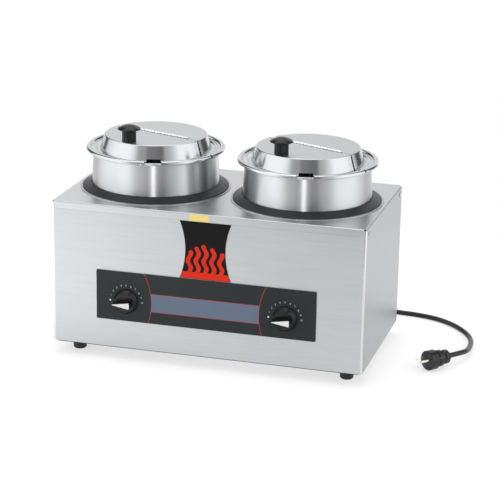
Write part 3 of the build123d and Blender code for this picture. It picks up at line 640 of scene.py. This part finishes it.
for side, hand in sides.items():
    wear(knob_polymer, f"{side}_control_knob")
    wear(inlay_polymer, f"{side}_pointer_inlay")
    hub = Vector((hand * dial_offset, panel_face, dial_height))
    work = bmesh.new()
    for number in range(1, scale_steps + 1):
        angle = pi - pi * number / scale_steps
        text = bpy.data.curves.new(f"{side}_digit", "FONT")
        text.body = str(number)
        text.size = digit_size
        text.extrude = ink / 2
        text.align_x = "CENTER"
        text.align_y = "CENTER"
        digit = bpy.data.objects.new(f"{side}_digit", text)
        digit.rotation_euler = (pi / 2, 0.0, 0.0)
        digit.location = hub + Vector((scale_radius * cos(angle), -ink / 2, scale_radius * sin(angle)))
        scene.collection.objects.link(digit)
        bpy.context.view_layer.update()
        letter = bpy.data.meshes.new_from_object(digit.evaluated_get(bpy.context.evaluated_depsgraph_get()))
        letter.transform(digit.matrix_world)
        work.from_mesh(letter)
        bpy.data.objects.remove(digit)
    add_piece(f"{side}_dial_scale", work, white_ink)
    knob_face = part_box(f"{side}_control_knob")[0].y
    tail = [
        (grip_tail - tail_bulge + tail_bulge * cos(angle), tail_half * sin(angle))
        for angle in spaced(-pi / 2, pi / 2, tail_steps)
    ]
    pointer = [(-grip_tip, tip_half), (-grip_tip, -tip_half), *tail]
    pointer = [(hub.x + across, knob_face, hub.z + up) for across, up in pointer]
    outline_prism(f"{side}_pointer_face", pointer, inlay_polymer, f"{side}_dial")
    dot_centre = hub - Vector((scale_radius, 0.0, 0.0))
    turns = spaced(0.0, 2 * pi, dot_steps)[:-1]
    dot = [dot_centre + Vector((dot_radius * cos(angle), 0.0, dot_radius * sin(angle))) for angle in turns]
    outline_prism(f"{side}_dial_dot", dot, inlay_polymer)


# Centre badge: a waisted black plate between the panel and the deck, printed with a red foot from
# which wavy bands of heat rise.
badge_ink = moulded(
    "badge_ink",
    pale=(0.009, 0.009, 0.009, 1),
    dark=(0.006, 0.006, 0.006, 1),
    roughness=0.35,
    texture=1200.0,
    depth=0.00005,
    gloss=0.12,
)
heat_ink = moulded(
    "heat_ink",
    pale=(0.80, 0.035, 0.012, 1),
    dark=(0.74, 0.028, 0.010, 1),
    roughness=0.38,
    texture=1200.0,
    depth=0.00005,
    gloss=0.12,
)
wear(badge_ink, "centre_badge")
badge_low, badge_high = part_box("centre_badge")
badge_face = badge_low.y
badge_waist = 0.0346
badge_margin = 0.0006
foot_top = 0.172
foot_steps = 24
wave_places = (-0.0272, -0.0136, 0.0, 0.0136, 0.0272)
wave_tops = (0.206, 0.213, 0.217, 0.213, 0.206)
wave_half = 0.0039
wave_swing = 0.0026
wave_length = 0.026
wave_steps = 32
tip_steps = 10


def badge_reach(z):
    """Half the badge's width at height z, on the arc through its corners and its waist."""
    half_height = (badge_high.z - badge_low.z) / 2
    hollow = badge_high.x - badge_waist
    sweep = (half_height**2 + hollow**2) / (2 * hollow)
    off = z - (badge_low.z + badge_high.z) / 2
    return badge_waist + sweep - (sweep**2 - off**2) ** 0.5 - badge_margin


foot_heights = spaced(badge_low.z + badge_margin, foot_top, foot_steps)
foot = [(badge_reach(z), badge_face, z) for z in foot_heights]
foot += [(-badge_reach(z), badge_face, z) for z in reversed(foot_heights)]
outline_prism("badge_foot", foot, heat_ink)
for i, (middle, top) in enumerate(zip(wave_places, wave_tops)):
    heights = spaced(foot_top, top, wave_steps)
    swings = [middle + wave_swing * sin(2 * pi * (z - foot_top) / wave_length) for z in heights]
    rising = [(x + wave_half, badge_face, z) for x, z in zip(swings, heights)]
    tip = [
        (swings[-1] + wave_half * cos(angle), badge_face, top + wave_half * sin(angle))
        for angle in spaced(0.0, pi, tip_steps)[1:-1]
    ]
    falling = [(x - wave_half, badge_face, z) for x, z in zip(reversed(swings), reversed(heights))]
    outline_prism(f"badge_wave_{i + 1}", rising + tip + falling, heat_ink)


# Insets: deep-drawn stainless pots that stand on the rings by a shoulder, with a beaded rim. Their
# collars are brushed round and round, which draws every reflection out into an upright streak.
def around(place, centre):
    """Radius, angle and height about an upright axis."""
    x, y, z = place.node("ShaderNodeVectorMath", {"operation": "SUBTRACT"}, {0: place, 1: centre}).parts()
    return (x * x + y * y) ** 0.5, x.math("ARCTAN2", y, x), z


def spun(name, centre, pale, dark, roughness, streaked=0.0, top=None, painted_highlight_crown=None):
    """Steel with fine rings about its axis.

    A top gives the height from which the steel has another roughness, and a crown the height above which a
    paler colour paints a highlight.
    """
    rings_per_metre = 1800.0
    cells_per_radian = 3.0
    cloud_cells = 14.0
    ring_share, cloud_share = 0.6, 0.4
    ring_rough, cloud_rough = 0.08, 0.04
    ring_relief, ring_depth = 0.03, 0.0003
    soft_edge = 0.0004

    def vary(place):
        radius, angle, height = around(place, centre)
        turned = {"X": radius * rings_per_metre, "Y": angle * cells_per_radian, "Z": height * rings_per_metre}
        ring_place = place.node("ShaderNodeCombineXYZ", {}, turned)
        ring = place.node("ShaderNodeTexNoise", {}, {"Vector": ring_place, "Scale": 1.0, "Detail": 2.0})
        cloud = noise(place, (cloud_cells, cloud_cells, cloud_cells))
        rough = roughness + (ring - 0.5) * ring_rough + (cloud - 0.5) * cloud_rough
        colour = (ring * ring_share + cloud * cloud_share).blend(dark, pale)
        if top:
            above = height.ramp(top["height"] - soft_edge, top["height"] + soft_edge)
            rough = rough + above * (top["roughness"] - roughness)
        # Above the crown's height the colour turns paler: a painted highlight.
        if painted_highlight_crown:
            colour = height.ramp(painted_highlight_crown["height"], painted_highlight_crown["height"] + soft_edge).blend(colour, painted_highlight_crown["colour"])
        return {"Base Color": colour, "Roughness": rough, "Normal": relief(ring, ring_relief, ring_depth)}

    return finish(name, {"Metallic": 1.0, "Anisotropic": streaked, "Anisotropic Rotation": 0.25}, vary)


well_offset = 0.1355
well_back = 0.016
well_places = {side: (hand * well_offset, well_back, 0.0) for side, hand in sides.items()}
for side, centre in well_places.items():
    pot_steel = spun(
        f"{side}_pot_steel",
        centre,
        pale=(0.665, 0.680, 0.690, 1),
        dark=(0.610, 0.625, 0.635, 1),
        roughness=0.34,
        streaked=0.92,
    )
    wear(pot_steel, f"{side}_inset")


# Lids: one drawn shell each, parted across the middle and joined again by a piano hinge whose knuckle
# tops are painted paler as a painted highlight. The flat top is satin, the sloping side and the rolled
# rim are polished, and a fluted knob is screwed on.
for side, centre in well_places.items():
    lid_steel = spun(
        f"{side}_lid_steel",
        centre,
        pale=(0.620, 0.638, 0.650, 1),
        dark=(0.570, 0.588, 0.600, 1),
        roughness=0.16,
        top={"height": 0.3655, "roughness": 0.36},
        # The knuckle tops above this height are painted paler: a painted highlight.
        painted_highlight_crown={"height": 0.3671, "colour": (0.95, 0.955, 0.96, 1)},
    )
    wear(lid_steel, f"{side}_lid_rear", f"{side}_lid_flap")
    wear(screw_steel, f"{side}_hinge_pin", f"{side}_lid_knob_screw")
    wear(knob_polymer, f"{side}_lid_knob")


# Mains lead: a round flexible cord from the gland to the moulded plug. The spare length lies coiled
# and tied behind the cabinet, and the rest comes round its right side along the counter.
cord_jacket = moulded(
    "cord_jacket",
    pale=(0.011, 0.012, 0.012, 1),
    dark=(0.006, 0.006, 0.007, 1),
    roughness=0.30,
    texture=1200.0,
    depth=0.00004,
)
prong_nickel = rolled(
    "prong_nickel",
    pale=(0.82, 0.80, 0.74, 1),
    dark=(0.70, 0.68, 0.62, 1),
    roughness=0.25,
    grain=(500.0, 500.0, 500.0),
)
cord_diameter = 0.009
gland_tip = Vector((-0.0393, 0.1904, 0.046))
coil_centre = Vector((0.070, 0.224, 0.0))
coil_angle = radians(78.0)
coil_low = 0.0056
coil_pitch = 0.0098
coil_outer = 0.057
lower_halves = 4
upper_halves = 3
half_points = 8
entry_run = 0.028
exit_run = 0.039
spoke = Vector((cos(coil_angle), sin(coil_angle), 0.0))
heading = Vector((sin(coil_angle), -cos(coil_angle), 0.0))
step = coil_pitch / 2
half_radii = [coil_outer - step * i for i in range(lower_halves + 1)]
half_radii += [half_radii[-1] + step * (i + 1) for i in range(upper_halves)]
coil_start = coil_centre + spoke * coil_outer + Vector((0.0, 0.0, coil_low))
coil_in = coil_start - heading * cord_diameter
route = [
    gland_tip,
    Vector((-0.0393, 0.2146, 0.0460)),
    Vector((-0.0296, 0.2444, 0.0383)),
    Vector((-0.0111, 0.2681, 0.0263)),
    Vector((0.0150, 0.2831, 0.0143)),
    coil_in - heading * entry_run,
    coil_in,
]
here = coil_start
outward = spoke
along = heading
spread = 1.0 / cos(pi / (2 * half_points))
for i, radius in enumerate(half_radii):
    rise = coil_pitch if i == lower_halves else 0.0
    centre = here - outward * radius
    for k in range(half_points):
        share = (k + 0.5) / half_points
        arm = outward * cos(pi * share) + along * sin(pi * share)
        route.append(centre + arm * radius * spread + Vector((0.0, 0.0, rise * share)))
    here = here - outward * 2 * radius + Vector((0.0, 0.0, rise))
    outward = -outward
    along = -along
coil_out = here + along * cord_diameter
route += [
    coil_out,
    coil_out + along * exit_run,
    Vector((0.1680, 0.2610, 0.0105)),
    Vector((0.2070, 0.2545, 0.0054)),
    Vector((0.2518, 0.2501, 0.0046)),
    Vector((0.2928, 0.2472, 0.0046)),
    Vector((0.3291, 0.2373, 0.0046)),
    Vector((0.3588, 0.2186, 0.0046)),
    Vector((0.3823, 0.1942, 0.0046)),
    Vector((0.4000, 0.1676, 0.0046)),
    Vector((0.4103, 0.1391, 0.0049)),
    Vector((0.4133, 0.1079, 0.0064)),
    Vector((0.4141, 0.0756, 0.0100)),
    Vector((0.4094, 0.0455, 0.0163)),
    Vector((0.3905, 0.0222, 0.0167)),
]
line = bpy.data.curves.new("mains_cord", "CURVE")
line.dimensions = "3D"
line.bevel_depth = cord_diameter / 2
line.bevel_resolution = 6
line.use_fill_caps = True
spline = line.splines.new("NURBS")
spline.points.add(len(route) - 1)
for point, place in zip(spline.points, route):
    point.co = (*place, 1.0)
spline.order_u = 3
spline.use_endpoint_u = True
spline.resolution_u = 8
line.materials.append(cord_jacket)
cord = bpy.data.objects.new("mains_cord", line)
scene.collection.objects.link(cord)
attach(cord, "cabinet")
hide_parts("cord_from_gland", "cord_coil", "cord_to_plug")
wear(cord_jacket, "cord_from_gland", "cord_coil", "cord_to_plug", "strain_relief", "plug_body", "coil_tie")
wear(prong_nickel, "plug_blades", "plug_ground_pin")
